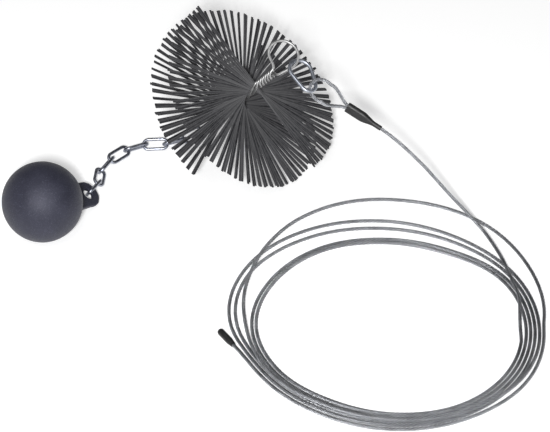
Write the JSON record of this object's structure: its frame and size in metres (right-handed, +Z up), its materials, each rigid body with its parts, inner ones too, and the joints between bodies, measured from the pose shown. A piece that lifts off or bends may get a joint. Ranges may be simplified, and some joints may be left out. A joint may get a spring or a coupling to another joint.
{
  "type": "chimney sweep brush",
  "caption": "Chimney sweep brush: twisted-in flat steel bristles between wire eyes, ball weight on a chain, snap hook and a coiled steel wire rope.",
  "frame": {"origin": "middle of the flat foot under the ball, on the surface the set lies on", "axes": "+Z up, +X from the ball towards the brush and the rope, +Y away from the rope's coil"},
  "size_m": [0.5287, 0.4982, 0.1514],
  "materials": {
    "cast_coat": "dark blue grey coating over cast iron, satin",
    "dark_steel": "round steel wire, dark zinc finish",
    "galvanised_wire": "bright galvanised wire",
    "brush_steel": "dark flat spring steel",
    "zinc_hook": "zinc plated, light blue cast",
    "rope_steel": "galvanised steel wire rope",
    "ferrule_metal": "pressed aluminium, smooth",
    "black_plastic": "black shrink tube, satin"
  },
  "bodies": {
    "ball": {"cast_iron_ball": "cast_coat"},
    "link_1": {"chain_link_1": "dark_steel"},
    "link_2": {"chain_link_2": "dark_steel"},
    "link_3": {"chain_link_3": "dark_steel"},
    "link_4": {"chain_link_4": "dark_steel"},
    "link_5": {"chain_link_5": "dark_steel"},
    "link_6": {"chain_link_6": "dark_steel"},
    "link_7": {"chain_link_7": "dark_steel"},
    "link_8": {"chain_link_8": "dark_steel"},
    "brush": {"core_wire_upper_eye": "galvanised_wire", "core_wire_lower_eye": "galvanised_wire", "bristles_low": "brush_steel", "bristles_middle": "brush_steel", "bristles_high": "brush_steel"},
    "hook": {"hook_body": "zinc_hook", "gate_rivet": "zinc_hook"},
    "gate": {"hook_gate": "zinc_hook", "gate_spring": "zinc_hook"},
    "rope": {"rope_eye": "rope_steel", "ferrule": "ferrule_metal", "shrink_sleeve": "black_plastic", "rope_lead": "rope_steel", "rope_coil": "rope_steel", "end_sleeve": "black_plastic"}
  },
  "joints": [
    {"name": "link_1_swing", "type": "hinge", "parent": "ball", "child": "link_1", "pos_m": [0.04069, 0.04013, 0.01315], "axis": [0.6068, -0.1038, 0.788], "range_deg": [-14, 20]},
    {"name": "link_2_swing", "type": "hinge", "parent": "link_1", "child": "link_2", "pos_m": [0.05109, 0.06475, 0.00839], "axis": [0.6068, -0.1039, 0.7881], "range_deg": [-14, 20]},
    {"name": "link_3_swing", "type": "hinge", "parent": "link_2", "child": "link_3", "pos_m": [0.05189, 0.08559, 0.00631], "axis": [-0.7817, 0.1189, 0.6122], "range_deg": [-14, 20]},
    {"name": "link_4_swing", "type": "hinge", "parent": "link_3", "child": "link_4", "pos_m": [0.06227, 0.10385, 0.00651], "axis": [-0.5461, 0.2843, -0.788], "range_deg": [-14, 20]},
    {"name": "link_5_swing", "type": "hinge", "parent": "link_4", "child": "link_5", "pos_m": [0.07779, 0.11793, 0.00651], "axis": [-0.6005, 0.624, 0.5], "range_deg": [-14, 20]},
    {"name": "link_6_swing", "type": "hinge", "parent": "link_5", "child": "link_6", "pos_m": [0.09719, 0.12589, 0.00651], "axis": [-0.2342, 0.5236, -0.8192], "range_deg": [-14, 20]},
    {"name": "link_7_swing", "type": "hinge", "parent": "link_6", "child": "link_7", "pos_m": [0.11814, 0.12677, 0.00651], "axis": [-0.06, 0.817, 0.5736], "range_deg": [-14, 20]},
    {"name": "link_8_swing", "type": "hinge", "parent": "link_7", "child": "link_8", "pos_m": [0.13756, 0.13461, 0.00651], "axis": [-0.2251, 0.6021, -0.766], "range_deg": [-14, 20]},
    {"name": "brush_swing", "type": "hinge", "parent": "link_8", "child": "brush", "pos_m": [0.15299, 0.14881, 0.00651], "axis": [-0.5353, 0.6201, 0.5736], "range_deg": [-14, 20]},
    {"name": "hook_swing", "type": "hinge", "parent": "brush", "child": "hook", "pos_m": [0.24856, 0.10613, 0.12653], "axis": [-0.6039, -0.0102, -0.797], "range_deg": [-15, 15]},
    {"name": "gate_swing", "type": "hinge", "parent": "hook", "child": "gate", "pos_m": [0.26821, 0.09398, 0.11538], "axis": [0.3385, -0.278, 0.899], "range_deg": [0, 25], "stiffness_Nm_per_rad": 0.01, "springref_deg": -5.73},
    {"name": "rope_swing", "type": "hinge", "parent": "hook", "child": "rope", "pos_m": [0.26893, 0.09138, 0.1143], "axis": [0.2177, -0.9063, -0.3622], "range_deg": [-12, 12]}
  ]
}
